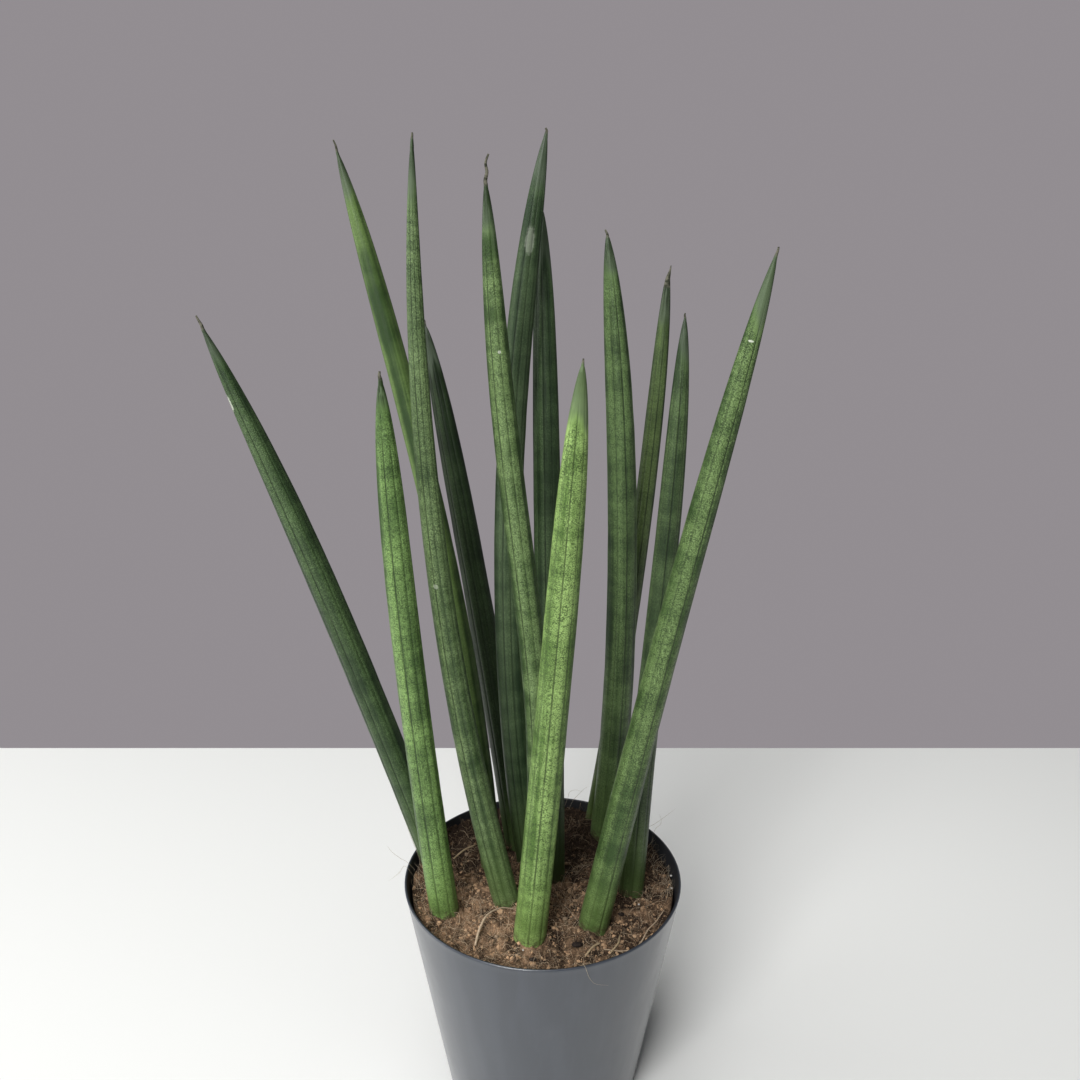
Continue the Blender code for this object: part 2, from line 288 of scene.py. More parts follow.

# place: x and y as shares of the planting circle. lean: how far the tip stands from the foot.
# rise: the tip's height over the rim. bow and sway: the bend to the right and the S-bend. radius
# and taper: at the foot, and the share lost on the way up. power: the higher, the later the point
# begins. thread: its length. thread_width: the leaf's least radius in thread radii. dry: the
# length of the brown end. hook: its bend to the right. furrows: degrees round from the front, to
# the right. bands, flecks and withered: how strong they are. seed: sets the leaf's noise apart.
# point: how far down the smooth point reaches. scar: degrees round, metres up, size, how much
# shorter than wide, and paleness.
# deep and light: the leaf's two greens. Besides each leaf's own green they hold painted shade, darker
# on the leaves at the back, and painted light, lighter on the front ones.
USUAL = dict(sway=0.0, power=8.0, hook=0.0, point=0.03)
LEAVES = {
    "leaf_far_left": dict(
        place=(-0.93, 0.265), lean=(-0.0825, 0.0), rise=0.239, bow=0.0036, sway=-0.0004,
        radius=0.0059, taper=0.02, power=4.5, thread=0.005, thread_width=2.2, dry=0.005,
        furrows=(-8, 38, -45), deep=(0.020, 0.041, 0.016), light=(0.077, 0.129, 0.049),
        bands=0.5, flecks=0.6, seed=1, point=0.016, withered=0.5,
        scar=(-66, 0.2115, 0.0019, 0.45, 0.8)),
    "leaf_short_left": dict(
        place=(-0.81, -0.33), lean=(-0.0145, -0.012), rise=0.226, bow=-0.002,
        radius=0.006, taper=0.16, thread=0.003, thread_width=2.6, dry=0.0025,
        furrows=(-12, 30, 62), deep=(0.045, 0.093, 0.022), light=(0.208, 0.347, 0.102),
        bands=0.6, flecks=0.8, seed=2, point=0.008, withered=1.0, scar=(150, 0.1, 0.0006, 1.0, 0.5)),
    "leaf_tall_left_rear": dict(
        place=(-0.445, 0.23), lean=(-0.0555, 0.022), rise=0.301, bow=0.008, sway=0.0005,
        radius=0.0045, taper=0.0, thread=0.005, thread_width=1.8, dry=0.004,
        furrows=(-105, 100, 140), deep=(0.025, 0.053, 0.014), light=(0.130, 0.205, 0.060),
        bands=0.4, flecks=0.3, seed=3, point=0.022, withered=0.6, scar=(160, 0.1, 0.0006, 1.0, 0.5)),
    "leaf_tall_left_front": dict(
        place=(-0.3, -0.21), lean=(-0.027, -0.014), rise=0.3025, bow=-0.0105,
        radius=0.00558, taper=0.54, thread=0.003, thread_width=1.9, dry=0.0015,
        furrows=(-20, 12, 48), deep=(0.035, 0.068, 0.022), light=(0.161, 0.236, 0.096),
        bands=0.6, flecks=0.75, seed=4, withered=1.0, scar=(-15, 0.15, 0.0012, 1.0, 0.35)),
    "leaf_rear_left": dict(
        place=(-0.21, 0.52), lean=(-0.0375, 0.022), rise=0.2325, bow=0.0015,
        radius=0.00612, taper=0.26, thread=0.003, thread_width=1.0, dry=0.0015,
        furrows=(-34, 0, 30), deep=(0.009, 0.017, 0.007), light=(0.034, 0.059, 0.023),
        bands=0.4, flecks=0.4, seed=5, withered=0.6, scar=(170, 0.1, 0.0006, 1.0, 0.5)),
    "leaf_tall_middle": dict(
        place=(-0.07, -0.3), lean=(-0.016, -0.006), rise=0.296, bow=0.0045, sway=0.0028,
        radius=0.005, taper=0.16, thread=0.009, thread_width=2.1, dry=0.0095, hook=0.0016,
        furrows=(-30, 14, 58), deep=(0.035, 0.070, 0.018), light=(0.158, 0.240, 0.088),
        bands=1.0, flecks=0.7, seed=6, withered=0.9, scar=(10, 0.238, 0.0007, 1.0, 0.7)),
    "leaf_short_front": dict(
        place=(-0.105, -0.63), lean=(0.018, -0.02), rise=0.2345, bow=0.0005,
        radius=0.0064, taper=0.2, thread=0.002, thread_width=1.8, dry=0.0012,
        furrows=(-6, 40, -48), deep=(0.072, 0.141, 0.026), light=(0.315, 0.476, 0.146),
        bands=0.65, flecks=0.85, seed=7, point=0.026, withered=0.5, scar=(140, 0.1, 0.0006, 1.0, 0.5)),
    "leaf_tallest": dict(
        place=(-0.11, 0.285), lean=(0.007, 0.004), rise=0.3048, bow=-0.012,
        radius=0.00552, taper=0.1, thread=0.002, thread_width=2.2, dry=0.0015, hook=-0.0006,
        furrows=(-20, 14, 50), deep=(0.016, 0.034, 0.013), light=(0.068, 0.108, 0.048),
        bands=0.5, flecks=0.4, seed=8, withered=0.5, scar=(-2, 0.271, 0.0022, 0.35, 0.22)),
    "leaf_rear_middle": dict(
        place=(0.07, 0.07), lean=(-0.004, 0.028), rise=0.278, bow=0.0005,
        radius=0.0058, taper=0.16, thread=0.002, thread_width=1.0, dry=0.0015,
        furrows=(-10, 25, -50), deep=(0.016, 0.032, 0.013), light=(0.069, 0.115, 0.048),
        bands=0.4, flecks=0.5, seed=9, withered=0.5, scar=(150, 0.1, 0.0006, 1.0, 0.5)),
    "leaf_rear_right": dict(
        place=(0.57, 0.67), lean=(-0.005, -0.004), rise=0.269, bow=0.007,
        radius=0.00657, taper=0.2, thread=0.002, thread_width=1.8, dry=0.0025, hook=-0.0006,
        furrows=(15, -25, 60), deep=(0.020, 0.041, 0.014), light=(0.120, 0.192, 0.068),
        bands=0.55, flecks=0.6, seed=10, point=0.016, withered=0.7, scar=(145, 0.1, 0.0006, 1.0, 0.5)),
    "leaf_thin_rear": dict(
        place=(0.48, 0.88), lean=(0.027, 0.014), rise=0.253, bow=0.0035,
        radius=0.00394, taper=0.08, thread=0.002, thread_width=1.4, dry=0.0085, hook=0.001,
        furrows=(8, -35, 55), deep=(0.015, 0.031, 0.009), light=(0.103, 0.156, 0.049),
        bands=0.4, flecks=0.45, seed=11, point=0.02, withered=0.9, scar=(155, 0.1, 0.0006, 1.0, 0.5)),
    "leaf_slim_right": dict(
        place=(0.745, -0.09), lean=(0.014, 0.01), rise=0.241, bow=0.0005, sway=-0.0007,
        radius=0.0053, taper=0.18, thread=0.002, thread_width=1.8, dry=0.0015,
        furrows=(0, 40, -45), deep=(0.016, 0.034, 0.012), light=(0.084, 0.134, 0.050),
        bands=0.5, flecks=0.55, seed=12, point=0.018, withered=0.6, scar=(165, 0.1, 0.0006, 1.0, 0.5)),
    "leaf_far_right": dict(
        place=(0.41, -0.5), lean=(0.054, -0.014), rise=0.268, bow=-0.0015,
        radius=0.006, taper=0.33, thread=0.003, thread_width=1.9, dry=0.0025,
        furrows=(18, -28, 60), deep=(0.033, 0.069, 0.017), light=(0.141, 0.222, 0.073),
        bands=0.75, flecks=0.8, seed=13, withered=0.5, scar=(-12, 0.245, 0.0011, 2.6, 0.9)),
}


def soil_plane(y):
    """plane(y) = POT_HEIGHT − SOIL_DROP + SOIL_TILT · y / RIM_RADIUS, the soil without its lumps."""
    return POT_HEIGHT - SOIL_DROP + SOIL_TILT * y / RIM_RADIUS


def planted(leaf):
    """The leaf with the usual values that it doesn't state, its foot on the soil, and its lean
    from there to the tip in all three directions."""
    x, y = PLANTING_RADIUS * np.array(leaf["place"])
    lean = (*leaf["lean"], POT_HEIGHT + leaf["rise"] - soil_plane(y))
    return {**USUAL, **leaf, "foot": (x, y, soil_plane(y)), "lean": lean}


LEAVES = {name: planted(leaf) for name, leaf in LEAVES.items()}


def lattice_noise(place, size, seed):
    """Smooth noise from -1 to 1: random numbers on a lattice of cells of the given size, blended
    between each cell's eight corners."""
    table = np.random.default_rng(seed).uniform(-1.0, 1.0, (32, 32, 32))
    scaled = place / size
    cell = np.floor(scaled).astype(int)
    part = scaled - cell
    part = part * part * (3.0 - 2.0 * part)
    total = 0.0
    for corner in np.ndindex(2, 2, 2):
        at = (cell + corner) % 32
        weight = np.prod(np.where(corner, part, 1.0 - part), axis=-1)
        total = total + weight * table[at[..., 0], at[..., 1], at[..., 2]]
    return total


def leaf_line(leaf, t):
    """centre(t) = foot + t · lean + (bow · 4t(1 − t) + sway · sin 2πt) to the right. Below the
    soil it turns upright and is drawn to the pot's middle as the square of the depth."""
    foot, lean = np.array(leaf["foot"]), np.array(leaf["lean"])
    above = np.maximum(t, 0.0)[:, None]
    bend = leaf["bow"] * 4.0 * above * (1.0 - above) + leaf["sway"] * np.sin(2.0 * np.pi * above)
    level = foot[:2] + above * lean[:2] + bend * np.array([1.0, 0.0])
    slope = lean[:2] + np.array([4.0 * leaf["bow"] + 2.0 * np.pi * leaf["sway"], 0.0])
    under = np.maximum(-t * lean[2] / ROOTED_DEPTH, 0.0)[:, None]
    level = level - slope * ROOTED_DEPTH / lean[2] * (under - under**2 / 2.0)
    level = level - ROOTED_PULL * under**2 * foot[:2]
    return np.concatenate([level, (foot[2] + lean[2] * t)[:, None]], -1)


def leaf_thickness(leaf, t):
    """radius(t) = radius · (1 − taper · u) · (1 − u^power)^0.75 + thread, at least thread_width ·
    thread, where u is t as a share of the green length and the thread narrows to its end.
    Slimmer below the soil, and rounded at the foot."""
    length = leaf["lean"][2]
    u = np.clip(t / (1.0 - leaf["thread"] / length), 0.0, 1.0)
    body = leaf["radius"] * (1.0 - leaf["taper"] * u) * (1.0 - u ** leaf["power"]) ** 0.75
    end = np.clip((1.0 - t) * length / (leaf["thread"] + 0.001), 0.0, 1.0)
    thread = THREAD_RADIUS * (0.45 + 0.55 * end)
    body = np.maximum(body + thread, leaf["thread_width"] * thread)
    under = np.maximum(-t * length / ROOTED_DEPTH, 0.0)
    foot = np.sqrt(np.clip((1.0 - under) / 0.2, 0.0, 1.0) + 0.02)
    return body * (1.0 - ROOTED_WAIST * under) * np.minimum(foot, 1.0)


def leaf_rings(leaf):
    """point(t, a) = centre(t) + radius(t) · section(a) · (cos a · front + sin a · right), where the
    section is a circle less its channel and its furrows. Also each point's place on the skin:
    across and along in metres, and how far it lies below the green point."""
    length = leaf["lean"][2]
    s = np.linspace(0.0, 1.0, LEAF_RINGS)
    rooted = ROOTED_DEPTH / length
    t = -rooted + (1.0 + rooted) * (1.0 - (1.0 - s) ** 1.35)
    centre, radius = leaf_line(leaf, t), leaf_thickness(leaf, t)
    green = length - leaf["dry"]
    dry = np.clip((t * length - green) / leaf["dry"], 0.0, 1.0)[:, None]
    level = np.stack([t * length, 0.0 * t, 0.0 * t], -1)
    kink = lattice_noise(level, THREAD_KINK_LENGTH, int(leaf["seed"]))[:, None]
    kink = kink * dry * (1.0 - dry) * 4.0 * min(THREAD_KINK, 0.16 * leaf["dry"])
    centre = centre + kink * np.array([1.0, 0.15, 0.0])
    centre = centre + leaf["hook"] * dry**2 * np.array([1.0, 0.0, 0.0])
    along = np.gradient(centre, axis=0)
    along /= np.linalg.norm(along, axis=1, keepdims=True)
    front = np.array([0.0, -1.0, 0.0]) + along * along[:, 1:2]
    front /= np.linalg.norm(front, axis=1, keepdims=True)
    right = np.cross(along, front)
    angle = np.linspace(0.0, 2.0 * np.pi, LEAF_SIDES, endpoint=False)
    inward = -np.array([leaf["foot"][0], leaf["foot"][1], 0.0])
    channel = np.arctan2((right @ inward).mean(), (front @ inward).mean())
    section = 1.0 - CHANNEL_DEPTH * np.exp(-((wrapped(angle - channel) / CHANNEL_WIDTH) ** 2))
    for furrow in np.radians(leaf["furrows"]):
        section = section - FURROW_DEPTH * np.exp(-((wrapped(angle - furrow) / FURROW_WIDTH) ** 2))
    reach = radius[:, None] * section
    across = (reach * np.cos(angle))[..., None] * front[:, None]
    points = centre[:, None] + across + (reach * np.sin(angle))[..., None] * right[:, None]
    lumps = lattice_noise(points + leaf["seed"], SKIN_LUMP_LENGTH, 5)[..., None] * SKIN_LUMP
    points = points + lumps * (points - centre[:, None])
    deep = (t * length)[:, None] + 0.0 * angle
    skin = np.stack([reach * np.cos(angle), reach * np.sin(angle), deep], -1)
    return points[None], {"skin_place": skin[None], "skin_left": (green - deep)[None]}


def wrapped(angle):
    """The angle brought to between -π and π."""
    return (angle + np.pi) % (2.0 * np.pi) - np.pi


def vector_maths(tree, operation, *inputs):
    """One Vector Math node over sockets or plain vectors."""
    node = tree.nodes.new("ShaderNodeVectorMath")
    node.operation = operation
    for socket, value in zip(node.inputs, inputs):
        if isinstance(value, tuple):
            socket.default_value = value
        else:
            tree.links.new(value, socket)
    return node.outputs["Value" if operation in ("DOT_PRODUCT", "LENGTH") else "Vector"]


# Colours that every leaf shares.
FLECK_DARK = (0.004, 0.008, 0.003, 1.0)
FLECK_PALE = (0.400, 0.500, 0.280, 1.0)
SCAR_PALE = (0.500, 0.530, 0.440, 1.0)
POINT_GREY = (0.080, 0.102, 0.070, 1.0)
HUSK_DARK = (0.024, 0.026, 0.015, 1.0)
HUSK_PALE = (0.120, 0.115, 0.085, 1.0)
FRESH_GREEN = (0.150, 0.230, 0.050, 1.0)
SOIL_STAIN = (0.060, 0.038, 0.024, 1.0)

# How wide each furrow's dark line of painted shade is, in radians, and how dark.
FURROW_LINES = ((0.050, 1.0), (0.060, 0.55), (0.070, 0.45))


def skin_tone(tree, place, streaks, stripes, given):
    """From 0 in the deep green to 1 in the light one: patches, cross bands by their share, fine
    streaks and broad stripes."""
    patches = stretched_noise(tree, place, (70.0, 70.0, 38.0), 2.0)
    bands = stretched_noise(tree, place, (22.0, 22.0, 105.0), 3.0, 0.55)
    bands = maths(tree, "MULTIPLY_ADD", bands, 2.2, -1.1)
    tone = maths(tree, "MULTIPLY_ADD", bands, given["Bands"], patches)
    tone = maths(tree, "MULTIPLY_ADD", streaks, 0.6, tone)
    tone = maths(tree, "MULTIPLY_ADD", stripes, 1.5, tone)
    return between(tree, tone, 1.0, 2.0)


def furrow_lines(tree, skin, place, left, given):
    """line = weight · exp(−2 (1 − cos a) / width²), where a is the angle from the furrow. The
    lines come and go along the leaf and end below its point."""
    flat = vector_maths(tree, "MULTIPLY", skin, (1.0, 1.0, 0.0))
    facing = vector_maths(tree, "NORMALIZE", flat)
    lines = 0.0
    for number, (width, weight) in enumerate(FURROW_LINES, 1):
        near = vector_maths(tree, "DOT_PRODUCT", facing, given[f"Furrow {number}"])
        away = maths(tree, "SUBTRACT", 1.0, near)
        away = maths(tree, "MULTIPLY", away, -2.0 / width**2)
        line = maths(tree, "MULTIPLY", maths(tree, "EXPONENT", away), weight)
        lines = maths(tree, "MAXIMUM", line, lines)
    wander = stretched_noise(tree, place, (5.0, 5.0, 60.0), 2.0)
    lines = maths(tree, "MULTIPLY", lines, between(tree, wander, 0.25, 0.55, 0.45, 1.0))
    return maths(tree, "MULTIPLY", lines, between(tree, left, 0.006, 0.030))


def scar_share(tree, skin, grain, given):
    """The scar's paleness within its ragged edge and 0 beyond, by the distance from its place,
    scaled along each axis."""
    apart = vector_maths(tree, "SUBTRACT", skin, given["Scar Place"])
    apart = vector_maths(tree, "MULTIPLY", apart, given["Scar Scale"])
    ragged = vector_maths(tree, "LENGTH", apart)
    ragged = maths(tree, "MULTIPLY_ADD", grain, 0.8, ragged)
    share = between(tree, ragged, 1.0, 1.4, 1.0, 0.0)
    return maths(tree, "MULTIPLY", share, given["Scar Paleness"])


def withered_share(tree, left, streaks, given):
    """Dark shrunken streaks just below the dry thread, by the leaf's own share."""
    share = between(tree, left, 0.003, 0.016, 1.0, 0.0)
    streaky = between(tree, streaks, 0.34, 0.56, 0.25, 1.0)
    share = maths(tree, "MULTIPLY", share, streaky)
    return maths(tree, "MULTIPLY", share, given["Withered"])


def at_the_foot(tree, skin, grain, given, colour):
    """The colour turned fresher near the soil, and stained where it touches the soil."""
    up = tree.nodes.new("ShaderNodeSeparateXYZ")
    tree.links.new(skin, up.inputs[0])
    young = between(tree, up.outputs["Z"], 0.004, 0.045, 0.35, 0.0)
    fresh = mixed(tree, 0.5, given["Light"], FRESH_GREEN)
    colour = mixed(tree, young, colour, fresh)
    soiled = between(tree, up.outputs["Z"], 0.001, 0.006, 0.75, 0.0)
    soiled = maths(tree, "MULTIPLY", soiled, between(tree, grain, 0.40, 0.60))
    return mixed(tree, soiled, colour, SOIL_STAIN)


def leaf_skin_group():
    """The leaf's colour, roughness and height from its place on the skin: two greens, dark and
    pale flecks, three furrow lines, a scar, a smooth point, a dry thread and a soiled foot."""
    tree = bpy.data.node_groups.new("leaf_skin", "ShaderNodeTree")
    sockets = (("Deep", "Color"), ("Light", "Color"), ("Bands", "Float"), ("Flecks", "Float"),
               ("Seed", "Float"), ("Point", "Float"), ("Withered", "Float"), ("Scar Place", "Vector"),
               ("Scar Scale", "Vector"), ("Scar Paleness", "Float"), ("Furrow 1", "Vector"),
               ("Furrow 2", "Vector"), ("Furrow 3", "Vector"))
    for name, kind in sockets:
        tree.interface.new_socket(name, in_out="INPUT", socket_type="NodeSocket" + kind)
    for name, kind in (("Color", "Color"), ("Roughness", "Float"), ("Height", "Float")):
        tree.interface.new_socket(name, in_out="OUTPUT", socket_type="NodeSocket" + kind)
    given = tree.nodes.new("NodeGroupInput").outputs
    out = tree.nodes.new("NodeGroupOutput").inputs
    skin = attribute(tree, "skin_place")["Vector"]
    left = attribute(tree, "skin_left")["Fac"]
    place = vector_maths(tree, "ADD", skin, given["Seed"])

    flecks = stretched_noise(tree, place, (2000.0, 2000.0, 2700.0), 1.0)
    grain = stretched_noise(tree, place, (420.0, 420.0, 650.0), 2.0, 0.6)
    streaks = stretched_noise(tree, place, (1100.0, 1100.0, 22.0), 2.0)
    stripes = stretched_noise(tree, place, (300.0, 300.0, 7.0), 1.0)
    tone = skin_tone(tree, place, streaks, stripes, given)
    colour = mixed(tree, tone, given["Deep"], given["Light"])

    # The smooth point reaches down in tongues, and the flecks end there.
    reach = maths(tree, "MULTIPLY", stripes, given["Point"])
    below = maths(tree, "SUBTRACT", left, reach)
    mottled = between(tree, below, 0.004, 0.010)
    speck = between(tree, grain, 0.34, 0.60, 0.45, 1.0)
    speck = maths(tree, "MULTIPLY", speck, between(tree, flecks, 0.34, 0.62))
    speck = maths(tree, "MULTIPLY", speck, mottled)
    dark = mixed(tree, 0.72, given["Deep"], FLECK_DARK)
    share = maths(tree, "MULTIPLY", speck, given["Flecks"])
    colour = mixed(tree, share, colour, dark)
    bright = between(tree, flecks, 0.32, 0.48, 0.40, 0.0)
    for factor in (given["Flecks"], tone, mottled):
        bright = maths(tree, "MULTIPLY", bright, factor)
    pale = mixed(tree, 0.35, given["Light"], FLECK_PALE)
    colour = mixed(tree, bright, colour, pale)

    # Painted shade: the furrows are shallow, so the shade in them is painted as dark lines.
    lines = furrow_lines(tree, skin, place, left, given)
    colour = mixed(tree, maths(tree, "MULTIPLY", lines, 0.85), colour, dark)
    scar = scar_share(tree, skin, grain, given)
    colour = mixed(tree, scar, colour, SCAR_PALE)

    smooth = mixed(tree, 0.30, given["Deep"], given["Light"])
    smooth = mixed(tree, 0.75, smooth, POINT_GREY)
    point = between(tree, below, 0.000, 0.008, 0.88, 0.0)
    colour = mixed(tree, point, colour, smooth)
    withered = withered_share(tree, left, streaks, given)
    colour = mixed(tree, withered, colour, dark)
    husk = mixed(tree, between(tree, grain, 0.35, 0.62), HUSK_DARK, HUSK_PALE)
    dry = between(tree, left, -0.0006, 0.0010, 1.0, 0.0)
    colour = mixed(tree, dry, colour, husk)
    colour = at_the_foot(tree, skin, grain, given, colour)

    tree.links.new(colour, out["Color"])
    rough = maths(tree, "MULTIPLY_ADD", grain, 0.20, 0.34)
    tree.links.new(maths(tree, "MULTIPLY_ADD", dry, 0.4, rough), out["Roughness"])
    height = maths(tree, "MULTIPLY", streaks, 0.6)
    height = maths(tree, "MULTIPLY_ADD", speck, -0.35, height)
    tree.links.new(maths(tree, "MULTIPLY_ADD", lines, -1.2, height), out["Height"])
    return tree


def leaf_material(name, leaf, group):
    """The leaf's skin with its own greens, furrows and scar."""
    made, tree, shader = new_material(name + "_skin")
    skin = tree.nodes.new("ShaderNodeGroup")
    skin.node_tree = group
    # The greens hold painted shade on the rear leaves and painted light on the front ones.
    skin.inputs["Deep"].default_value = (*leaf["deep"], 1.0)
    skin.inputs["Light"].default_value = (*leaf["light"], 1.0)
    for key in ("Bands", "Flecks", "Seed", "Point", "Withered"):
        skin.inputs[key].default_value = leaf[key.lower()]
    degrees, height, size, squash, paleness = leaf["scar"]
    turn = np.radians(degrees)
    out = leaf_thickness(leaf, np.array([height / leaf["lean"][2]]))[0]
    skin.inputs["Scar Place"].default_value = (out * np.cos(turn), out * np.sin(turn), height)
    scale = 1.0 / size
    skin.inputs["Scar Scale"].default_value = (scale, scale, scale * squash)
    skin.inputs["Scar Paleness"].default_value = paleness
    for number, furrow in enumerate(np.radians(leaf["furrows"]), 1):
        skin.inputs[f"Furrow {number}"].default_value = (np.cos(furrow), np.sin(furrow), 0.0)
    tree.links.new(skin.outputs["Color"], shader.inputs["Base Color"])
    tree.links.new(skin.outputs["Roughness"], shader.inputs["Roughness"])
    shader.inputs["Specular IOR Level"].default_value = 0.24
    bumped(tree, shader, skin.outputs["Height"], 0.00018, 0.8)
    return made


leaf_skin = leaf_skin_group()
for node, leaf in LEAVES.items():
    points, values = leaf_rings(leaf)
    spear = skins(node.replace("leaf_", "spear_"), points, values)
    spear.data.materials.append(leaf_material(spear.name, leaf, leaf_skin))
    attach(spear, "root")
    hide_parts(node)


# ---------------------------------------------------------------- the soil
# A plug of coir and peat: rough, crumbly, a little lower than the rim at the front. Loose crumbs
# lie all over it, and fine fibres stick out of it and lie across it.

SOIL_LUMP = 0.0006
SOIL_WAVES = (310.0, 270.0)
SOIL_SLANT_WAVES = (190.0, 240.0)
SOIL_SIDES = 440
SOIL_RINGS = 200
CRUMBS = 4300
FIBRES = 2600

# How far from the pot's axis the crumbs, the fibres' starts and the fibres reach.
CRUMB_REACH = 0.0562
FIBRE_START_REACH = 0.055
FIBRE_REACH = 0.0565

# The soil's unevenness: the size across and the height of each kind.
CLOD, CLOD_HEIGHT = 0.0072, 0.0015
LUMP, LUMP_HEIGHT = 0.0031, 0.0015
GRIT, GRIT_HEIGHT = 0.0013, 0.0007
DUST, DUST_HEIGHT = 0.0006, 0.0003


def soil_top(x, y):
    """height = rim − drop + tilt · y / rim radius + low crossed waves + crumbly noise of four
    sizes, heaped a little round each leaf and along the rim on the left."""
    crossed = np.sin(SOIL_WAVES[0] * x) * np.cos(SOIL_WAVES[1] * y)
    crossed = crossed + np.sin(SOIL_SLANT_WAVES[0] * x - SOIL_SLANT_WAVES[1] * y)
    level = soil_plane(y) + SOIL_LUMP * crossed / 2.0
    place = np.stack([x, y, 0.0 * x], -1) + 0.5
    clods = CLOD_HEIGHT * lattice_noise(place, CLOD, 21)
    lumps = LUMP_HEIGHT * np.abs(lattice_noise(place, LUMP, 22))
    grit = GRIT_HEIGHT * lattice_noise(place, GRIT, 23)
    dust = DUST_HEIGHT * lattice_noise(place, DUST, 24)
    level = level + clods + lumps + grit + dust - 0.0008
    for leaf in LEAVES.values():
        apart = np.hypot(x - leaf["foot"][0], y - leaf["foot"][1]) - leaf["radius"]
        level = level + 0.0012 * np.exp(-((np.maximum(apart, 0.0) / 0.0025) ** 2))
    edge = np.exp(-(((np.hypot(x, y) - 0.057) / 0.006) ** 2))
    return level + 0.0016 * edge * np.clip(0.5 - x / 0.06, 0.0, 1.0)


def soil_rings():
    """Rings from the middle of the underside, out, up the side, and in over the crumbly top."""
    angle = np.linspace(0.0, 2.0 * np.pi, SOIL_SIDES, endpoint=False)
    bottom = POT_FLOOR + GAP
    foot = inner_radius(bottom + POT_CORNER) - GAP
    edge = inner_radius(POT_HEIGHT - SOIL_DROP - SOIL_TILT) - 2.0 * GAP
    under = foot * np.linspace(0.02, 0.95, 4)
    over = edge * np.concatenate([[1.0], np.linspace(0.995, 0.004, SOIL_RINGS)])
    radius = np.concatenate([under, [foot], over])[:, None]
    x, y = radius * np.cos(angle), radius * np.sin(angle)
    z = soil_top(x, y)
    z[:4] = bottom
    z[4] = bottom + POT_CORNER
    z[5] -= 0.0008
    return np.stack([x, y, z], -1)[None]


def coir_material(name, deep, pale, rough):
    """Matt crumbs: two browns mixed by noise and by each crumb's tint, a random tone less the painted
    shade behind the leaves.
    """
    made, tree, shader = new_material(name)
    place = tree.nodes.new("ShaderNodeTexCoord").outputs["Object"]
    patches = stretched_noise(tree, place, (130.0, 130.0, 130.0), 3.0, 0.6)
    grit = stretched_noise(tree, place, (1300.0, 1300.0, 1300.0), 3.0, 0.7)
    share = maths(tree, "MULTIPLY_ADD", grit, 1.1, attribute(tree, "tint")["Fac"])
    share = maths(tree, "ADD", share, maths(tree, "MULTIPLY", patches, 0.4))
    share = between(tree, share, 0.45, 1.55)
    colour = mixed(tree, share, (*deep, 1.0), (*pale, 1.0))
    tree.links.new(colour, shader.inputs["Base Color"])
    shader.inputs["Roughness"].default_value = rough
    shader.inputs["Specular IOR Level"].default_value = 0.15
    bumped(tree, shader, grit, 0.0005, 0.9)
    return made


def painted_soil_shade(x, y):
    """Painted shade on the soil, by how much darker it is: 0 in front of the leaves, 1 behind them
    where the leaves shade it, and a little more to the right, away from the light, than to the left."""
    return np.clip((y + 0.002) / 0.036, 0.0, 1.0) + np.clip(x / 0.05, -0.5, 1.0) * 0.22


def clear_of_leaves(x, y, margin):
    """Whether each place on the soil is outside every leaf by the margin."""
    clear = np.ones(np.shape(x), bool)
    for leaf in LEAVES.values():
        apart = np.hypot(x - leaf["foot"][0], y - leaf["foot"][1])
        clear &= apart > leaf["radius"] + THREAD_RADIUS + margin
    return clear


def scattered(count, edge, margin, rng):
    """Random places on the soil inside a circle and clear of the leaves."""
    turn = rng.uniform(0.0, 2.0 * np.pi, 4 * count)
    reach = edge * np.sqrt(rng.uniform(0.0, 1.0, 4 * count))
    x, y = reach * np.cos(turn), reach * np.sin(turn)
    chosen = np.flatnonzero(clear_of_leaves(x, y, margin))[:count]
    return x[chosen], y[chosen]


def turned_at_random(points, rng):
    """Each lump's points turned about its middle to a random direction."""
    one = rng.normal(size=(len(points), 3))
    two = np.cross(one, rng.normal(size=(len(points), 3)))
    one /= np.linalg.norm(one, axis=1, keepdims=True)
    two /= np.linalg.norm(two, axis=1, keepdims=True)
    axes = np.stack([one, two, np.cross(one, two)], 1)
    return np.einsum("nrsi,nij->nrsj", points, axes)


def ball_rings(rings, sides, pole):
    """ball(e, a) = (sin e · cos a, sin e · sin a, cos e), where e runs from π less the pole's share
    to that share, so from under to over."""
    rise = np.linspace((1.0 - pole) * np.pi, pole * np.pi, rings)[:, None]
    turn = np.linspace(0.0, 2.0 * np.pi, sides, endpoint=False)
    level = np.cos(rise) + 0.0 * turn
    return np.stack([np.sin(rise) * np.cos(turn), np.sin(rise) * np.sin(turn), level], -1)


def crumb_rings(rng):
    """Small angular lumps: point = middle + size · ball, stretched, roughened and turned."""
    x, y = scattered(CRUMBS, CRUMB_REACH, 0.0001, rng)
    size = 0.00020 + 0.0008 * rng.uniform(0.0, 1.0, len(x)) ** 4.5
    rough = 1.0 + rng.uniform(-0.35, 0.35, (len(x), 4, 6, 1))
    stretch = rng.uniform(0.45, 1.35, (len(x), 1, 1, 3))
    middle = np.stack([x, y, soil_top(x, y) + 0.35 * size], -1)
    shape = turned_at_random(stretch * rough * ball_rings(4, 6, 0.12), rng)
    points = middle[:, None, None] + size[:, None, None, None] * shape
    # Painted shade: each crumb's tint is darker behind the leaves and towards the right.
    tint = rng.normal(0.30, 0.24, len(x)) - 0.75 * painted_soil_shade(x, y)
    return points, {"tint": tint[:, None, None] + np.zeros((1, 4, 6))}


